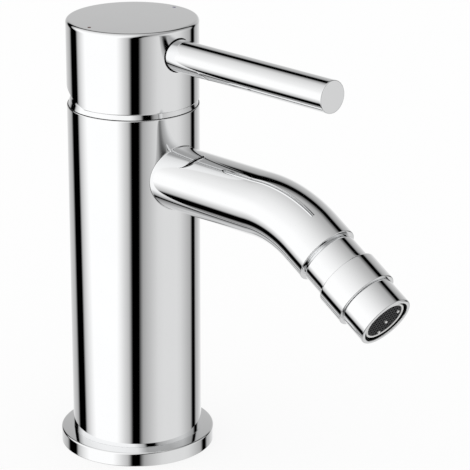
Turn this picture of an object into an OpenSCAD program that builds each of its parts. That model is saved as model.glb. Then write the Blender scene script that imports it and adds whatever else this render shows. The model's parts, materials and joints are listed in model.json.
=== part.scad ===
// Single-lever bidet mixer: a column with its spout cast on, a ceramic-disc cartridge,
// a tilting cap with a rod lever, and an outlet that swivels on a ball.
// Millimetres. The origin is on the deck, on the column's axis; the spout points to -Y.

/* [Column] */
// Height of the spout's axis above the deck
spout_h = 101.2; // [90:0.1:120]
// Column left above the spout
column_headroom = 10.75; // [8:0.25:16]
// Wall of the column beside the ring nut's thread
column_wall = 3; // [2:0.25:5]
// How far the base flange stands out past the column
flange_lip = 4.2; // [3:0.1:8]
// Thickness of the base flange at its rim
flange_t = 4.6; // [3:0.1:7]
// Rise of the flange's top from the rim to the column
flange_rise = 0.55; // [0.2:0.05:1]
// Step from the column in to the spigot that the flange fits on
foot_step = 2.5; // [1.5:0.25:4]
// Width of the rubber ring under the flange
base_seal_w = 2; // [1.5:0.25:2.5]
// Thickness of the rubber ring under the flange
base_seal_t = 1.6; // [1:0.1:2.4]
// Chamfer on the turned edges
edge = 0.3; // [0.1:0.05:0.6]

/* [Inlets and fixing] */
// Sideways distance of each inlet from the column's axis
inlet_x = 6; // [5.5:0.1:7]
// Distance of the inlets in front of the column's axis
inlet_y = 4.5; // [3:0.1:6]
// Core diameter of the inlet threads
inlet_thread_d = 9; // [8:0.1:10]
// Depth of the inlet threads
inlet_depth = 12; // [8:0.5:16]
// Diameter of the two waterways up to the cartridge
waterway_d = 6.4; // [5:0.1:7]
// Core diameter of the fixing stud's thread
stud_d = 6.8; // [5:0.1:8.5]
// Depth of the fixing stud's thread
stud_depth = 20; // [12:1:30]
// Distance of the fixing stud behind the column's axis
stud_y = 9; // [7:0.25:12]

/* [Spout] */
// Outside diameter of the spout
spout_d = 21.7; // [20.5:0.1:25]
// Distance from the column's axis to the start of the bend
spout_reach = 62.7; // [45:0.1:90]
// Radius of the bend, along the spout's axis
bend_r = 40.2; // [25:0.1:70]
// Angle by which the bend turns the spout down
bend_deg = 31.6; // [15:0.1:60]
// Straight length after the bend
spout_tip = 8.5; // [8.2:0.1:14]
// Diameter of the waterway in the spout
spout_bore_d = 12; // [9:0.25:13]
// Radius of the fillet where the spout leaves the column
root_fillet = 1.2; // [0.8:0.1:5]
// Chamfer on the spout's end
spout_edge = 0.3; // [0.2:0.05:0.8]

/* [Cartridge] */
// Diameter of the cartridge
cartridge_d = 35; // [32:0.5:42]
// Step from the cartridge out to the ring nut's thread
nut_ledge = 2; // [1.5:0.1:3]
// Height of the ring nut
nut_t = 5.8; // [4:0.1:6.2]
// Depth of the nut's top, and of the dome's spigot, below the column's top
mouth_depth = 2.4; // [1.5:0.1:4]
// Height of the cartridge's base
base_h = 8; // [7:0.25:10]
// Depth of the recess for the fixed disc in the base
base_recess = 3; // [2:0.1:3.5]
// Thickness of the gasket below the fixed disc
gasket_t = 1.5; // [1:0.1:2]
// Thickness of each ceramic disc
disc_t = 4; // [3:0.1:5]
// Thickness of the carrier on the moving disc
carrier_t = 4; // [3.6:0.1:5]
// Width of the moving disc between its flats
slider_w = 18.4; // [16:0.2:20]
// Wall of the cartridge's housing
housing_wall = 3.2; // [2.5:0.1:4]
// Diameter of the rotor's journal
rotor_d = 23; // [20:0.5:25]
// Length of the rotor's journal
journal_len = 6.2; // [5:0.1:8]
// Thickness of the rotor's flange
rotor_flange_t = 2.25; // [1.5:0.25:4]
// Height of the pivot pin above the rotor's underside
pivot_rise = 9.15; // [8:0.05:11]
// Height of the rotor above the pivot pin
rotor_head = 3.6; // [2.5:0.1:4]
// Diameter of the pivot pin
pin_d = 3; // [2:0.1:4]
// Width of the spindle along the pin
spindle_w = 8; // [6:0.25:9]
// Depth of the spindle, front to back
spindle_t = 7; // [5:0.25:8]
// Depth of the spindle's square part below the pivot pin
spindle_drop = 4; // [3:0.1:5]
// Diameter of the ball at the spindle's foot
foot_ball_d = 4.8; // [4:0.1:5.4]

/* [Handle] */
// Angle through which the lever lifts
lift_deg = 18; // [10:1:22]
// Extra angle of the slanted cut at the back of the cap
cut_margin = 1.5; // [1:0.25:4]
// Distance of the cut's start in front of the axis
cut_start = 0.8; // [0:0.1:3]
// Gap between the column's top and the cap's lower edge
cap_gap = 1.9; // [1.5:0.1:3]
// Step from the column in to the dome
dome_step = 0.3; // [0.1:0.05:0.5]
// Radius of the dome's shoulder, where it leaves the column
dome_shoulder = 3.9; // [3:0.1:5]
// Height of the dome above the column
dome_rise = 9.3; // [8.5:0.1:10.5]
// Thickness of the dome
dome_t = 1.4; // [1:0.1:2]
// Diameter of the spindle's opening in the dome
dome_hole_d = 19; // [17:0.5:21]
// Clearance between the dome and the cap's lower edge
dome_clear = 0.35; // [0.3:0.05:0.5]
// Wall of the cap
cap_wall = 1.4; // [1.2:0.05:1.6]
// Height of the bevel inside the cap's lower edge
lip_h = 4; // [3:0.1:5]
// Room between the dome's top and the lever's boss
lift_room = 4.2; // [3:0.1:6]
// Distance from the lever's axis up to the cap's top
lever_drop = 8.5; // [8.2:0.1:12]
// Diameter of the lever
lever_d = 10.9; // [9:0.1:13]
// Distance from the column's axis to the lever's end
lever_reach = 92.5; // [60:0.5:140]
// Depth of the lever's seat in the cap
lever_seat = 4; // [3:0.25:6]
// Gap round the lever in its seat
lever_gap = 0.3; // [0.2:0.05:1]
// Wall round the lever's seat inside the cap
boss_wall = 1.65; // [1:0.05:3]
// Thread diameter of the lever's shank and of the grub screw
shank_d = 8; // [5:0.5:9]
// Length of the grub screw
grub_len = 6; // [4:0.5:7]
// Thickness of the cap's top
cap_top_t = 3; // [2:0.25:4]
// Chamfer on the cap's top edge
cap_edge = 0.6; // [0.2:0.05:1]
// Diameter of the hot and cold marks
mark_d = 1.2; // [1:0.1:3]
// Distance of the marks from the cap's rim
mark_inset = 3.2; // [2:0.1:6]
// Depth of the marks
mark_t = 0.5; // [0.3:0.1:1]

/* [Swivel outlet] */
// Angle through which the outlet swivels each way
swivel_deg = 12; // [6:1:12]
// Diameter of the ball
ball_d = 13; // [11:0.25:14]
// Distance from the spout's end to the ball's centre
ball_drop = 8.5; // [8:0.1:12]
// Thickness of the slip ring round the ball
slip_t = 0.5; // [0.4:0.05:0.8]
// Wall of the neck's thread
neck_thread_wall = 1.5; // [1.2:0.1:1.8]
// Length of the neck's thread
neck_thread_len = 7; // [6:0.1:7]
// Step from the neck's thread out to its visible wall
neck_shoulder = 1.1; // [0.9:0.05:1.4]
// Width of the groove between the spout and the neck
neck_groove = 0.3; // [0.2:0.05:1]
// Chamfer on the neck's upper edge
neck_edge = 0.7; // [0.2:0.05:0.7]
// Thickness of the neck's washer
neck_washer_t = 1.2; // [0.8:0.1:1.2]
// Height of the seal above the ball
ball_seal_t = 4; // [3.8:0.1:4.4]
// Thickness of the ring nut above the seal
retainer_t = 3; // [2:0.1:4]
// Diameter of the stem below the ball
stem_d = 6.4; // [5:0.1:7]
// Diameter of the waterway through the ball
stem_bore_d = 4.4; // [3:0.1:4.8]
// Distance of the collar's upper rim below the ball's centre
rim_drop = 1.4; // [1.2:0.1:2]
// Wall of the collar round its socket
collar_wall = 0.88; // [0.7:0.02:2]
// Length of the collar
collar_len = 10.5; // [10:0.1:14]
// Chamfer on the collar's upper rim
collar_edge = 0.6; // [0.3:0.05:0.6]

/* [Aerator] */
// Step from the collar in to the thread of the aerator's housing
collar_step = 2.13; // [1.8:0.01:2.6]
// Length of the thread of the aerator's housing
collar_thread_len = 3.5; // [2.5:0.1:5]
// Wall of the housing at its thread
aerator_wall = 0.92; // [0.7:0.02:1.5]
// Thickness of the aerator's washer
aerator_washer_t = 1.1; // [0.8:0.1:2]
// Thickness of the inlet screen
screen_t = 0.8; // [0.5:0.1:1.5]
// Thickness of the insert's flange
insert_flange_t = 1.5; // [1:0.1:2.5]
// Length of the housing below the insert's flange
mouth_len = 3; // [2.5:0.1:5]
// Width of the step that carries the insert
insert_step = 0.6; // [0.4:0.05:1]
// Gap round the insert in the housing's mouth
mouth_gap = 0.5; // [0.2:0.05:0.8]
// Wall of the insert
insert_wall = 0.8; // [0.6:0.05:1.2]
// How far the insert's nose lies inside the housing's end
insert_inset = 0.7; // [0.3:0.05:1]
// Thickness of the grille
grille_t = 0.8; // [0.5:0.1:1]
// Spacing of the grille's bars
grille_pitch = 1.3; // [1.1:0.1:2]
// Width of the grille's bars
grille_bar = 0.45; // [0.3:0.05:0.6]

/* [Hidden] */
$fn = 96;
// The straight tip overlaps the bend, and is turned this much larger
tip_lap = 0.5;
tip_land = 0.02;
// Clearances: screwed or pressed pieces, turning pieces, and pieces that pass each other
fit = 0.05;
run = 0.05;
pass = 0.3;
over = 1;

// Column
cartridge_r = cartridge_d / 2;
nut_r = cartridge_r + nut_ledge;
column_r = nut_r + column_wall;
flange_r = column_r + flange_lip;
spigot_r = column_r - foot_step;
foot_z = flange_t + flange_rise;
base_seal_r = (spigot_r + flange_r) / 2;
spout_r = spout_d / 2;
column_h = spout_h + spout_r + column_headroom;

// Cartridge, stacked up from its seat
lap_gap = 0.05;
stack_h = base_h - base_recess + gasket_t + 2 * disc_t + lap_gap + carrier_t + pass
    + rotor_flange_t + pass + journal_len;
seat_z = column_h - mouth_depth - stack_h;
base_top_z = seat_z + base_h;
gasket_z = base_top_z - base_recess;
fixed_disc_z = gasket_z + gasket_t;
moving_disc_z = fixed_disc_z + disc_t + lap_gap;
carrier_z = moving_disc_z + disc_t;
rotor_z = carrier_z + carrier_t + pass;
lip_z = rotor_z + rotor_flange_t + pass;
housing_top_z = lip_z + journal_len;
pivot_z = rotor_z + pivot_rise;
foot_ball_r = foot_ball_d / 2;
foot_ball_z = carrier_z + foot_ball_r + 0.25;
arm_len = pivot_z - foot_ball_z;
arm_r = foot_ball_r - 0.5;
slide_len = arm_len * lift_deg * PI / 180;
chamber_r = cartridge_r + 0.25;
housing_r = cartridge_r - housing_wall;
fixed_disc_r = housing_r - 0.8;
slider_r = housing_r - slide_len / 2 - 1.6;
base_neck_r = cartridge_r - 2.5;
rotor_r = rotor_d / 2;
rotor_flange_r = housing_r - pass;
rotor_top_z = pivot_z + rotor_head;
housing_neck_r = rotor_r + run + 2.9;
nut_bore_r = housing_neck_r + 0.15;
nut_top_z = housing_top_z + 0.2;
nut_z = nut_top_z - nut_t;
slot_half = fit + max(pivot_rise * tan(lift_deg) + arm_r / cos(lift_deg),
    (rotor_top_z - pivot_z) * tan(lift_deg) + spindle_t / 2 / cos(lift_deg)) + 0.6;
seal_in_r = waterway_d / 2;
seal_out_r = seal_in_r + 1.4;
seal_t = 2;
peg_r = 1.5;
peg_len = 2.5;
peg_pos = [base_neck_r - 4, 7];
outlet_in_r = 3.5;
outlet_out_r = 9;
inlet_in_r = 4.6;
inlet_out_r = 8;
cavity_r = 6.4;
cavity_depth = 2;
cavity_y = 4.2;

// Handle
cap_z = column_h + cap_gap;
dome_base_r = column_r - dome_step;
dome_hole_r = dome_hole_d / 2;
dome_top_z = column_h + dome_rise;
shoulder_r = dome_base_r - dome_shoulder;
dome_at_cap_r = shoulder_r + sqrt(dome_shoulder * dome_shoulder - cap_gap * cap_gap);
cap_cavity_r = column_r - cap_wall;
cap_lip_r = dome_at_cap_r + dome_clear;

// Crown of the dome: a sphere that touches the shoulder and ends at the opening's rim.
// Its centre lies crown_drop below the column's top.
crown_sum = pow(dome_hole_r, 2) + pow(dome_rise, 2) + pow(dome_shoulder, 2) - pow(shoulder_r, 2);
crown_a = pow(dome_rise, 2) - pow(dome_shoulder, 2);
crown_b = dome_rise * (crown_sum - 2 * pow(dome_shoulder, 2));
crown_c = pow(crown_sum / 2, 2) - pow(dome_shoulder, 2) * (pow(dome_hole_r, 2) + pow(dome_rise, 2));
crown_drop = (sqrt(crown_b * crown_b - 4 * crown_a * crown_c) - crown_b) / (2 * crown_a);
crown_r = dome_shoulder + norm([shoulder_r, crown_drop]);
crown_deg = atan2(crown_drop, shoulder_r);

// Cap and lever
lever_r = lever_d / 2;
boss_r = lever_r + lever_gap + boss_wall;
boss_z = dome_top_z + lift_room;
lever_z = boss_z + boss_r;
cap_top_z = lever_z + lever_drop;
post_r = norm([spindle_w, spindle_t]) / 2 + 2.2;
spindle_top_z = lever_z + shank_d / 2;
shank_r = shank_d / 2;
shank_in = spindle_t / 2 + grub_len + 0.3;
mark_r = column_r - mark_inset;

// Swivel outlet, measured from the ball's centre along the flow
tip_y = -(spout_reach + bend_r * sin(bend_deg));
tip_z = spout_h - bend_r * (1 - cos(bend_deg));
tilt_deg = swivel_deg * sqrt(2);
ball_r = ball_d / 2;
slip_in_r = ball_r + run;
slip_out_r = slip_in_r + slip_t;
seat_r = slip_out_r + run;
neck_thread_r = seat_r + neck_thread_wall;
groove_r = neck_thread_r + neck_shoulder / 4;
neck_r = neck_thread_r + neck_shoulder;
neck_top = -(ball_drop + neck_thread_len);
stem_r = stem_d / 2;
mouth_r = stem_r / cos(tilt_deg) + pass;
ball_seal_z = -ball_r / 2;
ball_seal_top = ball_seal_z - ball_seal_t;
socket_r = neck_r + pass;
collar_r = socket_r + collar_wall;
collar_end = rim_drop + collar_len;
stem_thread_r = stem_r + 1.2;
collar_thread_r = collar_r - collar_step;
collar_thread_end = collar_end + collar_thread_len;
stem_end = collar_thread_end - 0.6;

// Aerator, measured the same way
aerator_bore_r = collar_thread_r + fit;
aerator_r = aerator_bore_r + aerator_wall;
aerator_top = collar_end + fit;
screen_z = collar_thread_end + aerator_washer_t;
insert_z = screen_z + screen_t;
step_z = insert_z + insert_flange_t;
mouth_end = step_z + mouth_len;
mouth_in_r = aerator_bore_r - insert_step;
insert_r = mouth_in_r - mouth_gap;
insert_in_r = insert_r - insert_wall;
insert_end = mouth_end - insert_inset;
grille_r = insert_in_r - fit / 2;
grille_z = insert_end - 0.2 - grille_t;

CHROME = "#c8ccd0";
RUBBER = "#2a2a2c";
PLASTIC = "#e8e6e0";
CERAMIC = "#f2f0ea";
BRASS = "#c8a24a";
STEEL = "#9aa0a6";

// Shared shapes

// A solid turned about Z from its half profile of [radius, height] points
module turned(points) {
    rotate_extrude()
        polygon(points);
}

module ring(r_out, r_in, h) {
    turned([[r_in, 0], [r_out, 0], [r_out, h], [r_in, h]]);
}

// Points along an arc, from one angle to another
function arc(center, r, from_deg, to_deg, steps) =
    [for (k = [0:steps])
        let (turn = from_deg + (to_deg - from_deg) * k / steps)
        center + r * [cos(turn), sin(turn)]];

// Quarter of a disc, the part that lies past the centre in the flow
module quarter_disc(r) {
    intersection() {
        circle(r = r);
        square([r, r]);
    }
}

module front_rod(r, from, to) {
    rotate([90, 0, 0])
        translate([0, 0, from])
            cylinder(r = r, h = to - from);
}

// Places a child turned along the outlet's axis, with the ball's centre as its origin
module at_ball() {
    translate([0, tip_y, tip_z])
        rotate([90 + bend_deg, 0, 0])
            translate([0, 0, spout_tip + ball_drop])
                children();
}

module each_inlet() {
    for (side = [-1, 1])
        translate([side * inlet_x, -inlet_y, 0])
            children();
}

module each_peg() {
    for (side = [-1, 1])
        translate([side * peg_pos.x, peg_pos.y, 0])
            children();
}

// Port in a disc: a sector between two radii
module port_sector(r_in, r_out, from_deg, to_deg, h) {
    rotate_extrude(angle = to_deg - from_deg, start = from_deg)
        translate([r_in, 0])
            square([r_out - r_in, h]);
}

// The two inlets in front and the outlet behind, as the gasket and the fixed disc have them
module disc_ports(h) {
    port_sector(inlet_in_r, inlet_out_r, 205, 255, h);
    port_sector(inlet_in_r, inlet_out_r, 285, 335, h);
    port_sector(outlet_in_r, outlet_out_r, 45, 135, h);
}

// Tube of radius r along the spout, from the column's axis to the start of the tip
module spout_sweep(r) {
    translate([0, 0, spout_h])
        front_rod(r, 0, spout_reach);
    translate([0, -spout_reach, spout_h - bend_r])
        rotate([180, -90, 0])
            rotate_extrude(angle = bend_deg)
                translate([bend_r, 0])
                    circle(r = r);
}

// Fillet of the spout's root: the path of a ball that rolls round the spout and touches the column

function unit(v) = v / norm(v);

function between(a, b, t) =
    let (angle = acos(a * b))
    (sin((1 - t) * angle) * a + sin(t * angle) * b) / sin(angle);

root_steps = 48;
root_rows = 6;
root_dive = 0.06;

function root_section(turn) =
    let (
        x = (spout_r + root_fillet) * cos(turn),
        center = [x, -sqrt(pow(column_r + root_fillet, 2) - x * x), (spout_r + root_fillet) * sin(turn)],
        to_spout = [-cos(turn), 0, -sin(turn)],
        to_column = unit([-center.x, -center.y, 0]),
        deep = spout_r - 2
    )
    concat(
        [center + (root_fillet + root_dive) * to_spout],
        [for (k = [1:root_rows - 1]) center + root_fillet * between(to_spout, to_column, k / root_rows)],
        [center + (root_fillet + root_dive) * to_column],
        [[deep * cos(turn), center.y + root_fillet + 2.5, deep * sin(turn)]]
    );

module root_blend() {
    sections = [for (i = [0:root_steps - 1]) root_section(360 * i / root_steps)];
    size = root_rows + 2;
    points = [for (section = sections) each section];
    faces = [
        for (i = [0:root_steps - 1], j = [0:size - 1])
            let (
                a = i * size + j,
                b = i * size + (j + 1) % size,
                c = (i + 1) % root_steps * size + (j + 1) % size,
                d = (i + 1) % root_steps * size + j
            )
            each [[a, b, c], [a, c, d]]
    ];
    translate([0, 0, spout_h])
        polyhedron(points, faces);
}

// Body

module base_flange() {
    seal_in = base_seal_r - base_seal_w / 2;
    seal_out = base_seal_r + base_seal_w / 2;
    bore = spigot_r + fit;
    color(CHROME)
        turned([
            [bore, 0], [seal_in, 0], [seal_in, base_seal_t], [seal_out, base_seal_t], [seal_out, 0],
            [flange_r, 0], [flange_r, flange_t - edge], [flange_r - edge, flange_t],
            [column_r, foot_z], [bore, foot_z]
        ]);
}

module base_seal() {
    color(RUBBER)
        ring(base_seal_r + base_seal_w / 2 - fit, base_seal_r - base_seal_w / 2 + fit, base_seal_t);
}

module column_solid() {
    turned([
        [0, 0], [spigot_r, 0], [spigot_r, foot_z], [column_r - edge, foot_z], [column_r, foot_z + edge],
        [column_r, column_h - edge], [column_r - edge, column_h], [0, column_h]
    ]);
}

module spout_solid() {
    spout_sweep(spout_r);
    tip_r = spout_r + tip_land;
    tip_start = -ball_drop - spout_tip - tip_lap;
    at_ball()
        turned([
            [0, tip_start], [tip_r, tip_start], [tip_r, -ball_drop - spout_edge],
            [tip_r - spout_edge, -ball_drop], [0, -ball_drop]
        ]);
}

module cartridge_chamber() {
    turned([
        [0, seat_z], [chamber_r, seat_z], [chamber_r, nut_z - pass], [nut_r + fit, nut_z - pass],
        [nut_r + fit, column_h + over], [0, column_h + over]
    ]);
    each_peg()
        translate([0, 0, seat_z - peg_len - fit])
            cylinder(r = peg_r + fit, h = peg_len + over);
}

module spout_waterway() {
    spout_sweep(spout_bore_d / 2);
    at_ball() {
        translate([0, 0, -ball_drop - spout_tip - tip_lap])
            cylinder(r = spout_bore_d / 2 + tip_land, h = spout_tip + tip_lap);
        translate([0, 0, neck_top - neck_washer_t])
            cylinder(r = neck_thread_r + fit, h = neck_thread_len + neck_washer_t + over);
    }
}

module body_casting() {
    color(CHROME)
        difference() {
            union() {
                column_solid();
                spout_solid();
                root_blend();
            }
            cartridge_chamber();
            spout_waterway();
            each_inlet() {
                translate([0, 0, -over])
                    cylinder(d = inlet_thread_d, h = inlet_depth + over);
                cylinder(d = waterway_d, h = seat_z + over);
            }
            translate([0, stud_y, -over])
                cylinder(d = stud_d, h = stud_depth + over);
        }
}

// Cartridge

module port_seals() {
    color(RUBBER)
        each_inlet()
            translate([0, 0, seat_z])
                ring(seal_out_r, seal_in_r, seal_t);
}

module cartridge_base() {
    color(PLASTIC)
        difference() {
            union() {
                turned([
                    [0, seat_z], [base_neck_r, seat_z], [base_neck_r, gasket_z], [cartridge_r, gasket_z],
                    [cartridge_r, base_top_z], [fixed_disc_r + fit, base_top_z],
                    [fixed_disc_r + fit, gasket_z], [0, gasket_z]
                ]);
                each_peg()
                    translate([0, 0, seat_z - peg_len])
                        cylinder(r = peg_r, h = peg_len + over);
            }
            each_inlet()
                translate([0, 0, seat_z - over]) {
                    cylinder(r = seal_out_r + fit, h = seal_t + over);
                    cylinder(d = waterway_d, h = base_h + over);
                }
            translate([0, 0, seat_z + 2])
                port_sector(outlet_in_r, outlet_out_r, 45, 135, base_h);
            translate([-outlet_in_r, outlet_in_r, seat_z + 2])
                cube([2 * outlet_in_r, cartridge_r, base_h - base_recess - 3]);
        }
}

module disc_gasket() {
    color(RUBBER)
        translate([0, 0, gasket_z])
            difference() {
                cylinder(r = fixed_disc_r, h = gasket_t);
                translate([0, 0, -over])
                    disc_ports(gasket_t + 2 * over);
            }
}

module fixed_disc() {
    color(CERAMIC)
        translate([0, 0, fixed_disc_z])
            difference() {
                cylinder(r = fixed_disc_r, h = disc_t);
                translate([0, 0, -over])
                    disc_ports(disc_t + 2 * over);
            }
}

module cartridge_housing() {
    color(PLASTIC)
        turned([
            [housing_r, base_top_z], [cartridge_r, base_top_z], [cartridge_r, nut_z],
            [housing_neck_r, nut_z], [housing_neck_r, housing_top_z],
            [rotor_r + run, housing_top_z], [rotor_r + run, lip_z], [housing_r, lip_z]
        ]);
}

module retaining_nut() {
    notch_w = 4;
    notch_depth = 1.5;
    color(BRASS)
        translate([0, 0, nut_z])
            difference() {
                ring(nut_r, nut_bore_r, nut_t);
                for (turn = [0:60:300])
                    rotate(turn)
                        translate([nut_bore_r - over, -notch_w / 2, nut_t - notch_depth])
                            cube([nut_ledge + over, notch_w, notch_depth + over]);
            }
}

module cover_dome() {
    spigot_z = nut_top_z + 0.2;
    spigot_in_r = nut_r - 1.8;
    shoulder = [shoulder_r, column_h];
    shoulder_in_r = dome_shoulder - dome_t;
    crown = [0, column_h - crown_drop];
    crown_in_r = crown_r - dome_t;
    color(CHROME)
        turned(concat(
            arc(shoulder, dome_shoulder, 0, crown_deg, 6),
            arc(crown, crown_r, crown_deg, acos(dome_hole_r / crown_r), 8),
            arc(crown, crown_in_r, acos(dome_hole_r / crown_in_r), crown_deg, 8),
            arc(shoulder, shoulder_in_r, crown_deg, asin(dome_t / shoulder_in_r), 2),
            [[spigot_in_r, column_h + dome_t], [spigot_in_r, spigot_z], [nut_r, spigot_z], [nut_r, column_h]]
        ));
}

module cartridge_rotor() {
    leg_x = slider_w / 2 + pass;
    leg_z = moving_disc_z + 0.6;
    color(PLASTIC)
        difference() {
            union() {
                turned([
                    [0, rotor_z], [rotor_flange_r, rotor_z], [rotor_flange_r, rotor_z + rotor_flange_t],
                    [rotor_r, rotor_z + rotor_flange_t], [rotor_r, rotor_top_z], [0, rotor_top_z]
                ]);
                difference() {
                    translate([0, 0, leg_z])
                        cylinder(r = rotor_flange_r, h = rotor_z - leg_z);
                    translate([-leg_x, -2 * rotor_flange_r, leg_z - over])
                        cube([2 * leg_x, 4 * rotor_flange_r, rotor_z - leg_z + over]);
                }
            }
            translate([-spindle_w / 2 - 0.2, -slot_half, rotor_z - over])
                cube([spindle_w + 0.4, 2 * slot_half, rotor_top_z - rotor_z + 2 * over]);
            translate([-2 * rotor_r, 0, pivot_z])
                rotate([0, 90, 0])
                    cylinder(d = pin_d + 0.02, h = 4 * rotor_r);
        }
}

module pivot_pin() {
    pin_len = 2 * rotor_r - 1.2;
    color(STEEL)
        translate([-pin_len / 2, 0, pivot_z])
            rotate([0, 90, 0])
                cylinder(d = pin_d, h = pin_len);
}

// Outline that the moving disc and its carrier share: round, with a flat on each side
module slider_block(z, h) {
    intersection() {
        translate([0, slide_len / 2, z])
            cylinder(r = slider_r, h = h);
        translate([-slider_w / 2, -2 * slider_r, z - over])
            cube([slider_w, 4 * slider_r, h + 2 * over]);
    }
}

module each_slider_peg() {
    for (side = [-1, 1])
        translate([side * (slider_w / 2 - 2.5), slide_len / 2, 0])
            children();
}

module disc_carrier() {
    slider_peg_len = 1.2;
    color(STEEL)
        difference() {
            union() {
                slider_block(carrier_z, carrier_t);
                each_slider_peg()
                    translate([0, 0, carrier_z - slider_peg_len])
                        cylinder(r = 1.2, h = slider_peg_len + 1);
            }
            translate([0, 0, carrier_z - over])
                cylinder(r = foot_ball_r + pass + fit, h = carrier_t + 2 * over);
        }
}

module moving_disc() {
    slider_peg_depth = 1.5;
    color(CERAMIC)
        difference() {
            slider_block(moving_disc_z, disc_t);
            translate([0, cavity_y, moving_disc_z - over])
                cylinder(r = cavity_r, h = cavity_depth + over);
            each_slider_peg()
                translate([0, 0, carrier_z - slider_peg_depth])
                    cylinder(r = 1.2 + fit, h = slider_peg_depth + over);
        }
}

// Handle

module spindle() {
    block_z = pivot_z - spindle_drop;
    color(STEEL)
        difference() {
            union() {
                translate([-spindle_w / 2, -spindle_t / 2, block_z])
                    cube([spindle_w, spindle_t, spindle_top_z - block_z]);
                translate([0, 0, foot_ball_z])
                    cylinder(r = arm_r, h = block_z - foot_ball_z + over);
                translate([0, 0, foot_ball_z])
                    sphere(r = foot_ball_r);
            }
            translate([-spindle_w, 0, pivot_z])
                rotate([0, 90, 0])
                    cylinder(d = pin_d + 2 * run, h = 2 * spindle_w);
        }
}

module handle_cap() {
    cavity_top_z = cap_top_z - cap_top_t;
    color(CHROME)
        difference() {
            union() {
                turned([
                    [cap_lip_r, cap_z], [column_r, cap_z], [column_r, cap_top_z - cap_edge],
                    [column_r - cap_edge, cap_top_z], [0, cap_top_z], [0, cavity_top_z],
                    [cap_cavity_r, cavity_top_z], [cap_cavity_r, cap_z + lip_h]
                ]);
                translate([0, 0, boss_z])
                    cylinder(r = post_r, h = cavity_top_z - boss_z + cap_top_t / 2);
                translate([0, 0, lever_z])
                    front_rod(boss_r, 0, cap_cavity_r + 0.2);
            }
            translate([0, -cut_start, cap_z])
                rotate([lift_deg + cut_margin, 0, 0])
                    translate([-2 * column_r, 0, -2 * column_r])
                        cube([4 * column_r, 4 * column_r, 2 * column_r]);
            translate([0, 0, lever_z]) {
                front_rod(lever_r + lever_gap, column_r - lever_seat, column_r + over);
                front_rod(shank_r + fit, 0, column_r);
            }
            translate([-spindle_w / 2 - fit, -spindle_t / 2 - fit, boss_z - over])
                cube([spindle_w + 2 * fit, spindle_t + 2 * fit, spindle_top_z - boss_z + over + 0.2]);
            for (side = [-1, 1])
                translate([side * mark_r, 0, cap_top_z - mark_t])
                    cylinder(d = mark_d + 0.04, h = mark_t + over);
        }
}

module lever_rod() {
    seat = column_r - lever_seat;
    color(CHROME)
        translate([0, 0, lever_z])
            rotate([90, 0, 0])
                turned([
                    [0, shank_in], [shank_r, shank_in], [shank_r, seat], [lever_r, seat],
                    [lever_r, lever_reach - edge], [lever_r - edge, lever_reach], [0, lever_reach]
                ]);
}

module grub_screw() {
    key_r = shank_r / 2;
    key_depth = grub_len / 2;
    color(STEEL)
        translate([0, 0, lever_z])
            difference() {
                front_rod(shank_r, spindle_t / 2, spindle_t / 2 + grub_len);
                rotate([90, 0, 0])
                    translate([0, 0, spindle_t / 2 + grub_len - key_depth])
                        cylinder(r = key_r, h = key_depth + over, $fn = 6);
            }
}

module mark(side) {
    translate([side * mark_r, 0, cap_top_z - mark_t])
        cylinder(d = mark_d, h = mark_t);
}

module hot_mark() {
    color("#c0202a")
        mark(-1);
}

module cold_mark() {
    color("#2048b0")
        mark(1);
}

// Swivel outlet

module neck_washer() {
    color(RUBBER)
        at_ball()
            translate([0, 0, neck_top - neck_washer_t])
                ring(neck_thread_r, spout_bore_d / 2 + 0.2, neck_washer_t);
}

module swivel_neck() {
    face = -ball_drop;
    color(CHROME)
        at_ball()
            rotate_extrude()
                difference() {
                    union() {
                        polygon([
                            [0, neck_top], [neck_thread_r, neck_top], [neck_thread_r, face],
                            [groove_r, face], [groove_r, face + neck_groove],
                            [neck_r - neck_edge, face + neck_groove],
                            [neck_r, face + neck_groove + neck_edge], [neck_r, 0], [0, 0]
                        ]);
                        quarter_disc(neck_r);
                    }
                    translate([0, neck_top - over])
                        square([seat_r, over - neck_top]);
                    quarter_disc(seat_r);
                    polygon([
                        [0, 0], [mouth_r, 0],
                        [mouth_r + 2 * neck_r * tan(tilt_deg), 2 * neck_r], [0, 2 * neck_r]
                    ]);
                }
}

module ball_seal() {
    color(RUBBER)
        at_ball()
            rotate_extrude()
                difference() {
                    translate([stem_r + 0.6, ball_seal_top])
                        square([seat_r - fit - stem_r - 0.6, ball_seal_t]);
                    circle(r = ball_r + run);
                }
}

module ball_retainer() {
    color(BRASS)
        at_ball()
            translate([0, 0, ball_seal_top - retainer_t])
                ring(seat_r - fit, stem_r + 0.8, retainer_t);
}

module slip_ring() {
    ring_top = 0.4;
    open_r = stem_r / cos(swivel_deg) + pass;
    color(PLASTIC)
        at_ball()
            rotate_extrude()
                difference() {
                    quarter_disc(slip_out_r);
                    circle(r = slip_in_r);
                    square([2 * slip_out_r, ring_top]);
                    polygon([
                        [0, 0], [open_r, 0], [open_r + 2 * ball_r * tan(swivel_deg), 2 * ball_r],
                        [0, 2 * ball_r]
                    ]);
                }
}

module ball_stem() {
    thread_start = socket_r + 0.2;
    flat_top = -0.8 * ball_r;
    color(BRASS)
        at_ball()
            rotate_extrude()
                difference() {
                    union() {
                        circle(r = ball_r);
                        square([stem_r, thread_start]);
                        translate([0, thread_start])
                            square([stem_thread_r, stem_end - thread_start]);
                    }
                    translate([-2 * ball_r, -2 * ball_r])
                        square([2 * ball_r, 4 * ball_r]);
                    translate([0, flat_top - 2 * ball_r])
                        square([2 * ball_r, 2 * ball_r]);
                    translate([0, -2 * ball_r])
                        square([stem_bore_d / 2, stem_end + 3 * ball_r]);
                }
}

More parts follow.
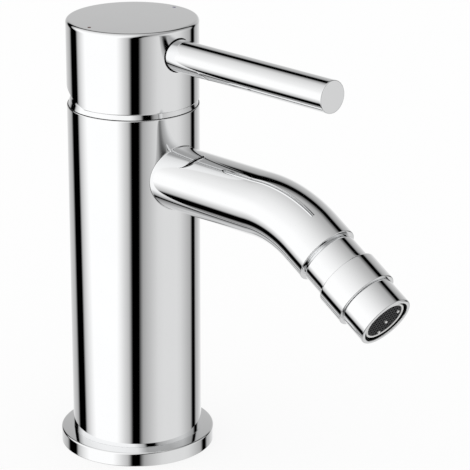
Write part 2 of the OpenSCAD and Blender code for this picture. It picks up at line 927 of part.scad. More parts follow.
module swivel_collar() {
    color(CHROME)
        at_ball()
            rotate_extrude()
                difference() {
                    polygon([
                        [0, rim_drop], [collar_r - collar_edge, rim_drop],
                        [collar_r, rim_drop + collar_edge],
                        [collar_r, collar_end], [collar_thread_r, collar_end],
                        [collar_thread_r, collar_thread_end], [0, collar_thread_end]
                    ]);
                    circle(r = socket_r);
                    square([stem_thread_r + fit, 2 * collar_thread_end]);
                }
}

module aerator_housing() {
    color(CHROME)
        at_ball()
            turned([
                [aerator_bore_r, aerator_top], [aerator_r, aerator_top],
                [aerator_r, mouth_end - 2 * edge], [aerator_r - 2 * edge, mouth_end],
                [mouth_in_r + edge, mouth_end], [mouth_in_r, mouth_end - edge],
                [mouth_in_r, step_z], [aerator_bore_r, step_z]
            ]);
}

module aerator_washer() {
    color(RUBBER)
        at_ball()
            translate([0, 0, collar_thread_end])
                ring(aerator_bore_r - fit, insert_in_r, aerator_washer_t);
}

module aerator_screen() {
    hole_r = 0.55;
    hole_step = insert_in_r / 3;
    color(STEEL)
        at_ball()
            translate([0, 0, screen_z])
                difference() {
                    cylinder(r = aerator_bore_r - fit, h = screen_t);
                    for (row = [0:2], i = [0:max(6 * row, 1) - 1])
                        rotate(60 * i / max(row, 1))
                            translate([row * hole_step, 0, -over])
                                cylinder(r = hole_r, h = screen_t + 2 * over);
                }
}

module aerator_insert() {
    ledge = 0.5;
    color("#d8d8d4")
        at_ball()
            turned([
                [insert_in_r - ledge, insert_z], [aerator_bore_r - fit, insert_z],
                [aerator_bore_r - fit, step_z], [insert_r, step_z], [insert_r, insert_end],
                [insert_in_r, insert_end], [insert_in_r, grille_z], [insert_in_r - ledge, grille_z]
            ]);
}

module aerator_grille() {
    count = floor(grille_r / grille_pitch);
    rim = 0.5;
    color("#3a3d40")
        at_ball()
            translate([0, 0, grille_z])
                linear_extrude(height = grille_t) {
                    difference() {
                        circle(r = grille_r);
                        circle(r = grille_r - rim);
                    }
                    intersection() {
                        circle(r = grille_r - rim / 2);
                        for (turn = [0, 90], i = [-count:count])
                            rotate(turn)
                                translate([i * grille_pitch - grille_bar / 2, -grille_r])
                                    square([grille_bar, 2 * grille_r]);
                    }
                }
}

base_flange();
base_seal();
body_casting();
port_seals();
cartridge_base();
disc_gasket();
fixed_disc();
cartridge_housing();
retaining_nut();
cover_dome();
neck_washer();
swivel_neck();
ball_seal();
ball_retainer();
cartridge_rotor();
pivot_pin();
handle_cap();
lever_rod();
grub_screw();
spindle();
hot_mark();
cold_mark();
disc_carrier();
moving_disc();
slip_ring();
ball_stem();
swivel_collar();
aerator_housing();
aerator_washer();
aerator_screen();
aerator_insert();
aerator_grille();
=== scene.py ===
# %% [markdown]
# # A chrome bidet mixer
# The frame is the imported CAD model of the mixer: its solids carry the sizes, the joints and the
# mounts. Chrome is a mirror, so every flat facet of a CAD mesh would show in it. This lesson models
# the visible chrome again as smooth, finely divided skins, gives every other piece its finish, and
# then builds the studio that the chrome shows.

# %% Load the frame
import json
from math import acos, atan2, cos, degrees, pi, radians, sin, sqrt

import bmesh
import bpy
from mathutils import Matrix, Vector


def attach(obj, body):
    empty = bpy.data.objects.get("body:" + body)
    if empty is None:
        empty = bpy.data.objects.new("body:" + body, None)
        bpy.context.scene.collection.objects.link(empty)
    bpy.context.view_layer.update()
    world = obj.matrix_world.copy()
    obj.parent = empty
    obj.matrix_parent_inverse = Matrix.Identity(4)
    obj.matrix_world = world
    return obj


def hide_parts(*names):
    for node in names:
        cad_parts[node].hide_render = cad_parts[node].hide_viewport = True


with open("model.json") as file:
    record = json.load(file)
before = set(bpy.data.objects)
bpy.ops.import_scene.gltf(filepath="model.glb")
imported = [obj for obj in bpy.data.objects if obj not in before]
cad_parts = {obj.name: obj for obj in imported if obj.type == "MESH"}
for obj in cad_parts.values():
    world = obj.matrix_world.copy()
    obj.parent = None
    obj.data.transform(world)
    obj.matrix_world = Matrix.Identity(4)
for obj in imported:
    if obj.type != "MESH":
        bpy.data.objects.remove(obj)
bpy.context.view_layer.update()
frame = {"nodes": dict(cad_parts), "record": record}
MM = 0.001

# %% [markdown]
# ## Sizes
# All sizes are in millimetres and follow those of the CAD model, so that each skin lies on its
# solid. Edges, roundings, the flange's rim, the dome's band and the cap's crown differ by less than
# a millimetre, because they were fitted to the bright and dark lines that they draw. The outlet's
# pieces are measured along the flow from the centre of the swivel's ball. A size that belongs to one
# piece only is named where that piece is made.

# %% Sizes shared by several pieces
COLUMN_R, COLUMN_H = 22.5, 122.8
FLANGE_R, FLANGE_T, FOOT_Z, SPIGOT_R = 26.7, 5.0, 5.3, 20.0
SPOUT_R, SPOUT_H, SPOUT_REACH = 10.85, 101.2, 62.7
BEND_R, BEND = 40.2, radians(31.6)
SPOUT_TIP, BALL_DROP = 8.5, 8.5
CAP_Z, CAP_TOP = 124.7, 152.2
LEVER_Z, LEVER_R, LEVER_REACH = 143.7, 5.45, 92.5
FLOW = Vector((0, -cos(BEND), -sin(BEND)))
BEND_END = Vector((0, -SPOUT_REACH - BEND_R * sin(BEND), SPOUT_H - BEND_R * (1 - cos(BEND))))
BALL = BEND_END + FLOW * (SPOUT_TIP + BALL_DROP)
print("ball centre in mm:", [round(v, 2) for v in BALL])

# %% [markdown]
# ## Selecting and joining
# Operators act on whatever is selected, so each step first leaves edit mode and clears the selection,
# then picks its own piece.

# %% Selecting and joining
def clear_selection():
    """Leaves edit mode and selects nothing."""
    if bpy.context.object and bpy.context.object.mode != "OBJECT":
        bpy.ops.object.mode_set(mode="OBJECT")
    bpy.ops.object.select_all(action="DESELECT")


def pick(*pieces):
    """Selects some pieces alone and makes the last one active."""
    clear_selection()
    for piece in pieces:
        piece.select_set(True)
    bpy.context.view_layer.objects.active = pieces[-1]


def join(*pieces):
    """Makes several meshes one piece, the last one."""
    pick(*pieces)
    bpy.ops.object.join()


# %% [markdown]
# ## A lathe
# Nearly every piece of a tap is turned, so one helper does the work of a lathe. It could start from a
# cylinder with inset and bevelled ends, but a profile that is spun gives every wall, step and edge
# at once. The helper starts from a plane merged to one point, extrudes that point along the half
# profile, and spins the line round the axis. Corners get a small radius first, because no real edge
# is perfectly sharp, and a chrome edge shows as a bright line only if it is rounded. A short step
# beside each rounding keeps the long walls truly straight in the reflection.

# %% Rounded corners of a profile
STEP_BESIDE = 0.3


def rounded(corners, closed=True, steps=6):
    """Turns (radius, distance, rounding) corners into a line of points with arcs at the corners."""
    points = []
    count = len(corners)
    for i, corner in enumerate(corners):
        here = Vector(corner[:2])
        size = corner[2] if len(corner) > 2 else 0
        if size == 0 or (not closed and i in (0, count - 1)):
            points.append(here)
            continue
        before = (Vector(corners[i - 1][:2]) - here).normalized()
        after = (Vector(corners[(i + 1) % count][:2]) - here).normalized()
        half = acos(max(-1, min(1, before.dot(after)))) / 2
        reach = size * cos(half) / sin(half)
        center = here + (before + after).normalized() * (size / sin(half))
        first, last = here + before * reach - center, here + after * reach - center
        swing = acos(max(-1, min(1, first.dot(last) / size**2)))
        points.append(here + before * (reach + STEP_BESIDE * size))
        for k in range(steps + 1):
            t = k / steps
            points.append(center + (first * sin((1 - t) * swing) + last * sin(t * swing)) / sin(swing))
        points.append(here + after * (reach + STEP_BESIDE * size))
    return points


def arc(center, radius, turn_from, turn_to, steps):
    """Points on an arc of the half profile."""
    turns = [turn_from + (turn_to - turn_from) * k / steps for k in range(steps + 1)]
    return [(center[0] + radius * cos(t), center[1] + radius * sin(t)) for t in turns]


# %% Lathe
MERGE = 0.004


def lathe(name, points, steps=192, base=(0, 0, 0), axis=(0, 0, 1), closed=True):
    """Spins a half profile of (radius, distance) points, in millimetres, round an axis."""
    base, axis = Vector(base), Vector(axis)
    across = Vector((1, 0, 0))
    places = [(base + axis * d + across * r) * MM for r, d in points]
    if closed:
        places.append(places[0])
    clear_selection()
    bpy.ops.mesh.primitive_plane_add(size=MM, location=places[0])
    piece = bpy.context.object
    piece.name = piece.data.name = name
    bpy.ops.object.mode_set(mode="EDIT")
    bpy.ops.mesh.merge(type="CENTER")
    for a, b in zip(places, places[1:]):
        bpy.ops.mesh.extrude_vertices_move(TRANSFORM_OT_translate={"value": b - a})
    bpy.ops.mesh.select_all(action="SELECT")
    bpy.ops.mesh.spin(steps=steps, angle=2 * pi, center=base * MM, axis=axis)
    bpy.ops.mesh.select_all(action="SELECT")
    bpy.ops.mesh.remove_doubles(threshold=MERGE * MM)
    bpy.ops.mesh.normals_make_consistent(inside=False)
    bpy.ops.object.mode_set(mode="OBJECT")
    bpy.ops.object.transform_apply(location=True, rotation=True, scale=True)
    return piece


# %% [markdown]
# ## Drilling and smoothing
# Holes that lie across a turned piece are drilled: a round tool is cut out with a boolean and then
# taken away. Smooth shading keeps the real corners, and weighted normals let the long walls lead, so
# that a rounded edge doesn't bend the reflection in the wall beside it.

# %% Drilling and smoothing
def cutter(name, radius, depth, location, rotation=(0, 0, 0)):
    """A round cutting tool that is taken away after its boolean."""
    clear_selection()
    bpy.ops.mesh.primitive_cylinder_add(
        vertices=96, radius=radius * MM, depth=depth * MM,
        location=Vector(location) * MM, rotation=rotation,
    )
    tool = bpy.context.object
    tool.name = name
    return tool


def cut(piece, tool):
    """Cuts the tool out of the piece, with the tool's finish on the cut, and removes the tool."""
    pick(piece)
    modifier = piece.modifiers.new("cut", "BOOLEAN")
    modifier.operation = "DIFFERENCE"
    modifier.solver = "EXACT"
    modifier.material_mode = "TRANSFER"
    modifier.object = tool
    bpy.ops.object.modifier_apply(modifier=modifier.name)
    bpy.data.objects.remove(tool, do_unlink=True)


def smooth(piece, angle=35, weighted=True):
    """Smooth shading that keeps real corners, with the long walls leading the normals."""
    pick(piece)
    bpy.ops.object.shade_smooth_by_angle(angle=radians(angle))
    if weighted:
        modifier = piece.modifiers.new("normals", "WEIGHTED_NORMAL")
        modifier.keep_sharp = True
        modifier.weight = 80
        bpy.ops.object.modifier_apply(modifier=modifier.name)
    print(piece.name, len(piece.data.polygons), "faces")


def stand_for(piece, node, body):
    """The piece rides on its body in place of the CAD node, which is hidden."""
    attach(piece, body)
    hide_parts(node)


# %% [markdown]
# ## Writing shaders as sums
# A small class wraps a socket, so that a finish can be written as a sum or a product. One method
# adds any other node: its settings go in first, then its values and links.

# %% Shader sums
class Wire:
    """An output socket of a node tree that can be used in a sum."""

    def __init__(self, tree, socket):
        self.tree, self.socket = tree, socket

    def node(self, kind, settings=None, inputs=None, out=0):
        """Adds a node and returns one of its outputs."""
        made = self.tree.nodes.new(kind)
        for key, value in (settings or {}).items():
            if key == "stops":
                self.set_stops(made.color_ramp, value)
            else:
                setattr(made, key, value)
        for key, value in (inputs or {}).items():
            if isinstance(value, Wire):
                self.tree.links.new(value.socket, made.inputs[key])
            else:
                made.inputs[key].default_value = value
        return Wire(self.tree, made.outputs[out])

    @staticmethod
    def set_stops(ramp, stops):
        """Gives a ramp its (place, grey value) stops."""
        while len(ramp.elements) > 1:
            ramp.elements.remove(ramp.elements[-1])
        ramp.elements[0].position = stops[0][0]
        for place, _ in stops[1:]:
            ramp.elements.new(place)
        for stop, (_, grey) in zip(ramp.elements, stops):
            stop.color = (grey, grey, grey, 1)

    def math(self, operation, *others):
        return self.node("ShaderNodeMath", {"operation": operation}, dict(enumerate((self, *others))))

    def __add__(self, other):
        return self.math("ADD", other)

    __radd__ = __add__

    def __mul__(self, other):
        return self.math("MULTIPLY", other)

    __rmul__ = __mul__

    def __sub__(self, other):
        return self.math("SUBTRACT", other)

    def __rsub__(self, other):
        return self.node("ShaderNodeMath", {"operation": "SUBTRACT"}, {0: other, 1: self})

    def __truediv__(self, other):
        return self.math("DIVIDE", other)

    def __rtruediv__(self, other):
        return self.node("ShaderNodeMath", {"operation": "DIVIDE"}, {0: other, 1: self})

    def __neg__(self):
        return self * -1

    def between(self, low, high):
        """0 below low, 1 above high, and a smooth rise between them."""
        return self.node(
            "ShaderNodeMapRange", {"interpolation_type": "SMOOTHSTEP"},
            {"Value": self, "From Min": low, "From Max": high, "To Min": 0.0, "To Max": 1.0},
        )

    def most(self, other):
        return self.math("MAXIMUM", other)

    def least(self, other):
        return self.math("MINIMUM", other)

    def channel(self, index):
        return self.node("ShaderNodeSeparateColor", {}, {0: self}, out=index)


# %% Making and giving finishes
def finish(name):
    """A new material: its own maker of nodes, and its shader."""
    material = bpy.data.materials.new(name)
    material.use_nodes = True
    shader = material.node_tree.nodes["Principled BSDF"]
    return material, Wire(material.node_tree, None), shader


def feed(wire, shader, socket):
    wire.tree.links.new(wire.socket, shader.inputs[socket])


def paint(material, *pieces):
    for piece in pieces:
        piece.data.materials.clear()
        piece.data.materials.append(material)


def repaint(piece, material, test):
    """Gives another finish to the faces of the first one whose centre, in millimetres, passes a test."""
    piece.data.materials.append(material)
    for face in piece.data.polygons:
        if face.material_index == 0 and test(face.center / MM):
            face.material_index = len(piece.data.materials) - 1


# %% [markdown]
# ## Finishes
# Chrome plate is almost a perfect mirror. What tells it from a computer's perfect mirror is a faint
# haze from polishing, so its roughness wanders a little. Inside, the cap keeps its raw cast skin. The
# narrow gaps round the lever, the groove in the mouth and the joint at the dome's foot are painted
# near black: painted shade, as little light gets into them. The other pieces are rubber, plastic,
# ceramic, brass and steel: each gets its colour, a fine grain and a roughness of its own.

# %% One grained finish
BUMP_DEPTH = 0.2


def grained(name, colour, shade, rough, rough_range, scale, metallic=0.0, bump=0.0, gloss=0.5):
    """A colour that wanders to a darker shade with a fine grain, and a roughness that follows it."""
    material, maker, shader = finish(name)
    place = maker.node("ShaderNodeTexCoord", out="Object")
    noise = {"Vector": place, "Scale": scale, "Detail": 4.0}
    grain = maker.node("ShaderNodeTexNoise", {}, noise, out="Fac")
    tones = {0: grain, 6: (*shade, 1), 7: (*colour, 1)}
    feed(maker.node("ShaderNodeMix", {"data_type": "RGBA"}, tones, out=2), shader, "Base Color")
    feed(rough + (grain - 0.5) * rough_range, shader, "Roughness")
    shader.inputs["Metallic"].default_value = metallic
    shader.inputs["Specular IOR Level"].default_value = gloss
    if bump:
        ridges = {"Strength": bump, "Distance": BUMP_DEPTH * MM, "Height": grain}
        feed(maker.node("ShaderNodeBump", {}, ridges, out="Normal"), shader, "Normal")
    return material


# %% The finishes of this tap
chrome = grained("chrome plate", (0.95, 0.955, 0.96), (0.92, 0.925, 0.93), 0.03, 0.03, 60.0, metallic=1.0)
# Painted shade: a near-black, dull finish that stands in for the shade in gaps and recesses.
shaded = grained("shaded recess", (0.02, 0.02, 0.02), (0.01, 0.01, 0.01), 0.6, 0.2, 300.0, gloss=0.1)
raw = grained("raw casting", (0.30, 0.29, 0.28), (0.24, 0.23, 0.22), 0.6, 0.2, 300.0)
finishes = {
    "rubber": grained(
        "black rubber", (0.03, 0.03, 0.03), (0.02, 0.02, 0.02), 0.7, 0.2, 900.0, bump=0.2),
    "cartridge_plastic": grained(
        "cartridge plastic", (0.85, 0.84, 0.80), (0.80, 0.79, 0.75), 0.45, 0.1, 500.0),
    "ceramic": grained(
        "lapped ceramic", (0.90, 0.89, 0.86), (0.87, 0.86, 0.83), 0.15, 0.05, 700.0),
    "brass": grained(
        "machined brass", (0.80, 0.60, 0.28), (0.72, 0.53, 0.23), 0.3, 0.15, 400.0, metallic=1.0),
    "steel": grained(
        "machined steel", (0.60, 0.60, 0.61), (0.52, 0.52, 0.53), 0.3, 0.15, 400.0, metallic=1.0),
    "hot_red": grained(
        "red enamel", (0.11, 0.035, 0.025), (0.08, 0.025, 0.02), 0.4, 0.1, 2000.0),
    "cold_blue": grained(
        "blue enamel", (0.17, 0.165, 0.28), (0.14, 0.135, 0.24), 0.4, 0.1, 2000.0),
    "aerator_grey": grained(
        "aerator plastic", (0.66, 0.66, 0.65), (0.60, 0.60, 0.59), 0.35, 0.1, 600.0),
    "grille_dark": grained(
        "grille plastic", (0.02, 0.02, 0.022), (0.01, 0.01, 0.011), 0.4, 0.1, 900.0, gloss=0.15),
}
print("finishes:", ["chrome plate", "shaded recess", "raw casting", *finishes])

# %% [markdown]
# ## Base flange
# A plain turned ring that the column stands on, with a groove below for the rubber ring. Its top edge
# catches a thin light line, so it gets a radius of half a millimetre.

# %% Base flange
BORE_R = SPIGOT_R + 0.05
GROOVE_IN, GROOVE_OUT, GROOVE_DEEP = 22.35, 24.35, 1.6
flange = lathe("chrome_flange", rounded([
    (BORE_R, 0), (GROOVE_IN, 0), (GROOVE_IN, GROOVE_DEEP), (GROOVE_OUT, GROOVE_DEEP), (GROOVE_OUT, 0),
    (FLANGE_R, 0, 0.2), (FLANGE_R, FLANGE_T, 0.5), (COLUMN_R, FOOT_Z), (BORE_R, FOOT_Z),
]))
smooth(flange)
stand_for(flange, "base_flange", "mixer_body")

# %% [markdown]
# ## Column
# The column is a cup: the cartridge stands in its chamber, the ring nut sits in the wider part above,
# and the dome closes it. It is turned with its inside, and the two inlets and the stud's hole are
# drilled into its foot, because they lie beside the axis.

# %% Column
CHAMBER_R, CHAMBER_Z = 17.75, 92.8
NUT_R, NUT_Z = 19.55, 114.5
column = lathe("chrome_column", rounded([
    (0, 0), (SPIGOT_R, 0), (SPIGOT_R, FOOT_Z), (COLUMN_R, FOOT_Z, 0.1), (COLUMN_R, COLUMN_H, 0.25),
    (NUT_R, COLUMN_H), (NUT_R, NUT_Z), (CHAMBER_R, NUT_Z), (CHAMBER_R, CHAMBER_Z), (0, CHAMBER_Z),
]), steps=256, closed=False)
for name, radius, depth, x, y in [
    ("hot_bore", 4.5, 12, -6, -4.5), ("cold_bore", 4.5, 12, 6, -4.5), ("stud_bore", 3.4, 20, 0, 9),
]:
    cut(column, cutter(name, radius, 2 * depth, (x, y, 0)))
smooth(column)

# %% [markdown]
# ## Spout
# The spout is cast on the column. A curve with a round bevel would give the pipe, but not its
# rounded end or its root. So a ring at the start of the bend is spun through the bend, extruded
# along the straight tip, rolled over its edge and turned inwards to the waterway.

# %% Ring steps
def ring_step(move, scale=1.0, center=(0, 0, 0)):
    """Extrudes the selected ring, moves it and scales it about a point on its axis, in millimetres."""
    bpy.ops.mesh.extrude_edges_move(TRANSFORM_OT_translate={"value": Vector(move) * MM})
    if scale != 1.0:
        bpy.ops.transform.resize(value=(scale,) * 3, center_override=Vector(center) * MM)


# %% Bend and tip of the spout
TIP_EDGE, TIP_STEPS = 0.25, 8
NECK_HOLE_R, WATERWAY_R, NECK_SEAT = 8.7, 6.0, 0.2
bend_start = Vector((0, -SPOUT_REACH, SPOUT_H))
clear_selection()
bpy.ops.mesh.primitive_circle_add(
    vertices=160, radius=SPOUT_R * MM, location=bend_start * MM, rotation=(pi / 2, 0, 0)
)
spout = bpy.context.object
spout.name = spout.data.name = "chrome_spout"
bpy.ops.object.transform_apply(location=True, rotation=True, scale=True)
bpy.ops.object.mode_set(mode="EDIT")
bpy.ops.mesh.select_mode(type="VERT")
bpy.ops.mesh.spin(
    steps=44, angle=-BEND, axis=(1, 0, 0), center=(bend_start - Vector((0, 0, BEND_R))) * MM
)
for length in (0.5, SPOUT_TIP - TIP_EDGE - 0.7, 0.2):
    ring_step(FLOW * length)
turns = [k / TIP_STEPS * pi / 2 for k in range(TIP_STEPS + 1)]
rings = [(SPOUT_R - TIP_EDGE * (1 - cos(t)), SPOUT_TIP - TIP_EDGE * (1 - sin(t))) for t in turns]
rings += [(NECK_HOLE_R, SPOUT_TIP), (NECK_HOLE_R, NECK_SEAT), (WATERWAY_R, NECK_SEAT), (WATERWAY_R, -2.0)]
for (old_radius, old_reach), (radius, reach) in zip(rings, rings[1:]):
    ring_step(FLOW * (reach - old_reach), radius / old_radius, BEND_END + FLOW * reach)
print("rings at the spout's end:", len(rings))

# %% [markdown]
# Now the root. In the casting a small fillet joins the spout to the column. A bevel can't follow an
# edge between two separate meshes, but a fillet is the path of a small ball that rolls along both
# surfaces. So the first ring is drawn back to the column, and each new ring's points are set on that
# ball's arc. The last ring dips just under the column's skin.

# %% Path of the rolling ball
ROOT_FILLET, ROOT_STEPS, ROOT_DIP = 0.5, 12, 0.03


def rolling_ball(turn):
    """The ball's centre, and the ways from there to the spout and to the column."""
    axis_gap = SPOUT_R + ROOT_FILLET
    x = axis_gap * cos(turn)
    y = -sqrt((COLUMN_R + ROOT_FILLET) ** 2 - x * x)
    center = Vector((x, y, SPOUT_H + axis_gap * sin(turn)))
    to_spout = Vector((-cos(turn), 0, -sin(turn)))
    to_column = Vector((-center.x, -center.y, 0)).normalized()
    return center, to_spout, to_column


def set_on_fillet(t, dip=0.0, forward=0.0):
    """Sets each selected point at the share t of the fillet's arc, by its bearing round the spout."""
    mesh = bmesh.from_edit_mesh(spout.data)
    for vert in mesh.verts:
        if vert.select:
            turn = atan2(vert.co.z / MM - SPOUT_H, vert.co.x / MM)
            center, to_spout, to_column = rolling_ball(turn)
            swing = acos(to_spout.dot(to_column))
            way = (to_spout * sin((1 - t) * swing) + to_column * sin(t * swing)) / sin(swing)
            vert.co = (center + way * (ROOT_FILLET + dip) - Vector((0, forward, 0))) * MM
    bmesh.update_edit_mesh(spout.data)


# %% Root of the spout
bpy.ops.mesh.select_all(action="DESELECT")
mesh = bmesh.from_edit_mesh(spout.data)
for vert in mesh.verts:
    across = Vector((vert.co.x, vert.co.z - SPOUT_H * MM)).length
    vert.select = abs(vert.co.y + SPOUT_REACH * MM) < 1e-6 and across > 0.9 * SPOUT_R * MM
mesh.select_flush_mode()
bmesh.update_edit_mesh(spout.data)
print("points in the root's first ring:", sum(v.select for v in mesh.verts))
ring_step((0, 0.5, 0))
ring_step((0, 20, 0))
set_on_fillet(0, forward=0.4)
for k in range(ROOT_STEPS + 1):
    ring_step((0, 0.1, 0))
    set_on_fillet(k / ROOT_STEPS, dip=ROOT_DIP if k == ROOT_STEPS else 0.0)
bpy.ops.mesh.select_all(action="SELECT")
bpy.ops.mesh.normals_make_consistent(inside=False)
bpy.ops.object.mode_set(mode="OBJECT")
smooth(spout, weighted=False)

join(spout, column)
casting = column
casting.name = casting.data.name = "chrome_casting"
stand_for(casting, "body_casting", "mixer_body")

# %% [markdown]
# ## Dome
# A thin dome hides the cartridge below the cap. It shows as a narrow conical band between the column
# and the cap, and as a whole where the cap's slanted cut opens at the back. It is turned with its
# inside. A thin dark ring at its foot marks the joint between dome and column; its near black is
# painted shade of the gap there.

# %% Dome
DOME_BASE_R, SHOULDER, DOME_T = 22.2, 3.9, 1.4
BAND_R, BAND_H = 21.58, 1.95
CROWN_R, CROWN_DROP, DOME_HOLE_R = 31.756, 21.002, 9.5
SKIRT_R, SKIRT_IN, SKIRT_Z = 19.45, 17.7, 120.8
CROWN_TURN = atan2(CROWN_DROP, DOME_BASE_R - SHOULDER)
CROWN_IN = CROWN_R - DOME_T
shoulder = (DOME_BASE_R - SHOULDER, COLUMN_H)
crown = (0, COLUMN_H - CROWN_DROP)
dome = lathe("chrome_dome", [
    (DOME_BASE_R, COLUMN_H), (DOME_BASE_R - 0.01, COLUMN_H + 0.05),
    (BAND_R, COLUMN_H + BAND_H), (BAND_R - 0.04, COLUMN_H + BAND_H + 0.1),
    *arc(shoulder, SHOULDER, radians(38), CROWN_TURN, 8),
    *arc(crown, CROWN_R, CROWN_TURN, acos(DOME_HOLE_R / CROWN_R), 18)[1:],
    *arc(crown, CROWN_IN, acos(DOME_HOLE_R / CROWN_IN), radians(56), 8),
    (SKIRT_IN, COLUMN_H + DOME_T), (SKIRT_IN, SKIRT_Z), (SKIRT_R, SKIRT_Z), (SKIRT_R, COLUMN_H),
])
smooth(dome)
paint(chrome, dome)
SEAM_IN, SEAM_OUT, SEAM_TOP = 21.9, 22.34, COLUMN_H + 0.2
seam = lathe("seam", [(SEAM_IN, COLUMN_H), (SEAM_OUT, COLUMN_H), (SEAM_OUT, SEAM_TOP), (SEAM_IN, SEAM_TOP)])
smooth(seam)
# The seam ring is painted near black: painted shade of the gap at the joint.
paint(shaded, seam)
join(seam, dome)
stand_for(dome, "cover_dome", "mixer_body")

# %% [markdown]
# ## Cap
# The cap is turned with its hollow and the post for the spindle, and its top is very slightly
# crowned, as polishing leaves it. The rear of its lower edge is cut off on a slant, so that it can
# tip back, and its front takes the lever. Both are cut with tools.

# %% Cap on the lathe
CAP_CROWN, CROWN_LIFT, CAP_EDGE = 0.3, 0.25, 1.1
HOLLOW_R, HOLLOW_TOP, POST_R, POST_Z = 21.1, 149.2, 7.5, 136.3
LIP_R, LIP_H = 22.06, 4


def cap_skin(radius):
    """The height of the cap's crowned top at a distance from the axis."""
    return CAP_TOP + CAP_CROWN + CROWN_LIFT * (1 - (radius / COLUMN_R) ** 2)


cap = lathe("chrome_cap", rounded([
    (LIP_R, CAP_Z), (COLUMN_R, CAP_Z, 0.3), (COLUMN_R, cap_skin(COLUMN_R), CAP_EDGE),
    *[(r, cap_skin(r)) for r in range(20, -1, -2)],
    (0, POST_Z), (POST_R, POST_Z), (POST_R, HOLLOW_TOP), (HOLLOW_R, HOLLOW_TOP), (HOLLOW_R, CAP_Z + LIP_H),
]), steps=256)
smooth(cap)
paint(chrome, cap)
pick(cap)
bpy.ops.object.duplicate()
uncut = bpy.context.object

# %% [markdown]
# The wedge for the slanted cut is a cube moved so that one edge lies on its origin, then tipped about
# that edge. The cuts leave long thin faces in the skin, and they would show as dents in the mirror. So
# the skin takes its normals from the uncut copy. Then the lever's boss is set inside.

# %% Cuts in the cap
SLANT, SLANT_FRONT, WEDGE = 19.5, -0.8, 100
LEVER_HOLE_R, SHANK_HOLE_R = LEVER_R + 0.4, 4.05
clear_selection()
bpy.ops.mesh.primitive_cube_add(size=WEDGE * MM)
wedge = bpy.context.object
bpy.ops.object.mode_set(mode="EDIT")
bpy.ops.transform.translate(value=Vector((0, WEDGE / 2, -WEDGE / 2)) * MM)
bpy.ops.object.mode_set(mode="OBJECT")
wedge.rotation_euler = (radians(SLANT), 0, 0)
wedge.location = Vector((0, SLANT_FRONT, CAP_Z)) * MM
cut(cap, wedge)
hole_place, hole_turn = (0, -COLUMN_R, LEVER_Z), (pi / 2, 0, 0)
lever_hole = cutter("lever_hole", LEVER_HOLE_R, 8, hole_place, hole_turn)
# The tool's near-black finish goes onto the hole's walls: painted shade in the gap round the lever.
paint(shaded, lever_hole)
cut(cap, lever_hole)
cut(cap, cutter("shank_hole", SHANK_HOLE_R, 40, hole_place, hole_turn))

# %% Mirror normals and the lever's boss
NEAR_SKIN = 0.05
pick(cap)
bpy.ops.object.shade_smooth_by_angle(angle=radians(35))
transfer = cap.modifiers.new("mirror_normals", "DATA_TRANSFER")
transfer.object = uncut
transfer.use_loop_data = True
transfer.data_types_loops = {"CUSTOM_NORMAL"}
transfer.loop_mapping = "POLYINTERP_LNORPROJ"
transfer.max_distance = NEAR_SKIN * MM
transfer.use_max_distance = True
bpy.ops.object.modifier_apply(modifier=transfer.name)
bpy.data.objects.remove(uncut, do_unlink=True)
repaint(cap, raw, lambda point: point.xy.length < HOLLOW_R + 0.4 and point.z < HOLLOW_TOP + 0.3)

BOSS_R, BOSS_IN, BOSS_OUT, LEVER_SEAT = 7.4, 3, 21.15, 18.5
boss = lathe("lever_boss", [
    (SHANK_HOLE_R, BOSS_IN), (BOSS_R, BOSS_IN), (BOSS_R, BOSS_OUT), (LEVER_HOLE_R, BOSS_OUT),
    (LEVER_HOLE_R, LEVER_SEAT), (SHANK_HOLE_R, LEVER_SEAT),
], steps=96, base=(0, 0, LEVER_Z), axis=(0, -1, 0))
smooth(boss)
# The boss is painted near black too: painted shade inside the lever's hole.
paint(shaded, boss)
join(boss, cap)
print(cap.name, len(cap.data.polygons), "faces")
stand_for(cap, "handle_cap", "handle")

# %% [markdown]
# ## Hot and cold marks
# Two small enamel dots set into the cap's top: red on the hot side, blue on the cold side. Paint
# would do from far off, but each is turned as a low disc with a rounded edge that stands a little
# proud of the chrome, as enamel does.

# %% Hot and cold marks
MARK_AT, MARK_R, MARK_DEEP, MARK_PROUD = 19.3, 0.6, 0.4, 0.06
for x, node, slot in ((-MARK_AT, "hot_mark", "hot_red"), (MARK_AT, "cold_mark", "cold_blue")):
    mark = lathe(node + "_dot", rounded([
        (0, -MARK_DEEP), (MARK_R, -MARK_DEEP), (MARK_R, MARK_PROUD, 0.05), (0, MARK_PROUD),
    ], closed=False), steps=48, base=(x, 0, cap_skin(MARK_AT)), closed=False)
    smooth(mark)
    paint(finishes[slot], mark)
    stand_for(mark, node, "handle")

# %% [markdown]
# ## Lever
# A straight turned rod with a flat end and a thinner shank that screws into the cap. A bevelled
# cylinder would show the same outside, but the lathe gives the shank and the edge in one profile.

# %% Lever
SHANK_R, SHANK_IN = 4, 9.8
lever = lathe("chrome_lever", rounded([
    (0, SHANK_IN), (SHANK_R, SHANK_IN), (SHANK_R, LEVER_SEAT), (LEVER_R, LEVER_SEAT),
    (LEVER_R, LEVER_REACH, 0.35), (0, LEVER_REACH),
], closed=False), steps=128, base=(0, 0, LEVER_Z), axis=(0, -1, 0), closed=False)
smooth(lever)
stand_for(lever, "lever_rod", "handle")

# %% [markdown]
# ## Neck and collar of the swivel
# The neck, the collar and the aerator's housing follow each other along the outlet's axis. The
# neck ends in a ball-shaped bearing that the collar slides over, so the collar's inside is hollowed
# to a sphere. Each edge is rounded, because the thin lines between these rings are what the eye
# reads as separate pieces.

# %% Neck and collar
def outlet_lathe(name, points, **kind):
    return lathe(name, points, base=BALL, axis=FLOW, **kind)


def sphere_arc(radius, turn_from, turn_to, steps):
    """Points on a sphere round the ball's centre, by the angle from the outlet's axis in degrees."""
    turns = [radians(turn_from + (turn_to - turn_from) * k / steps) for k in range(steps + 1)]
    return [(radius * sin(t), radius * cos(t)) for t in turns]


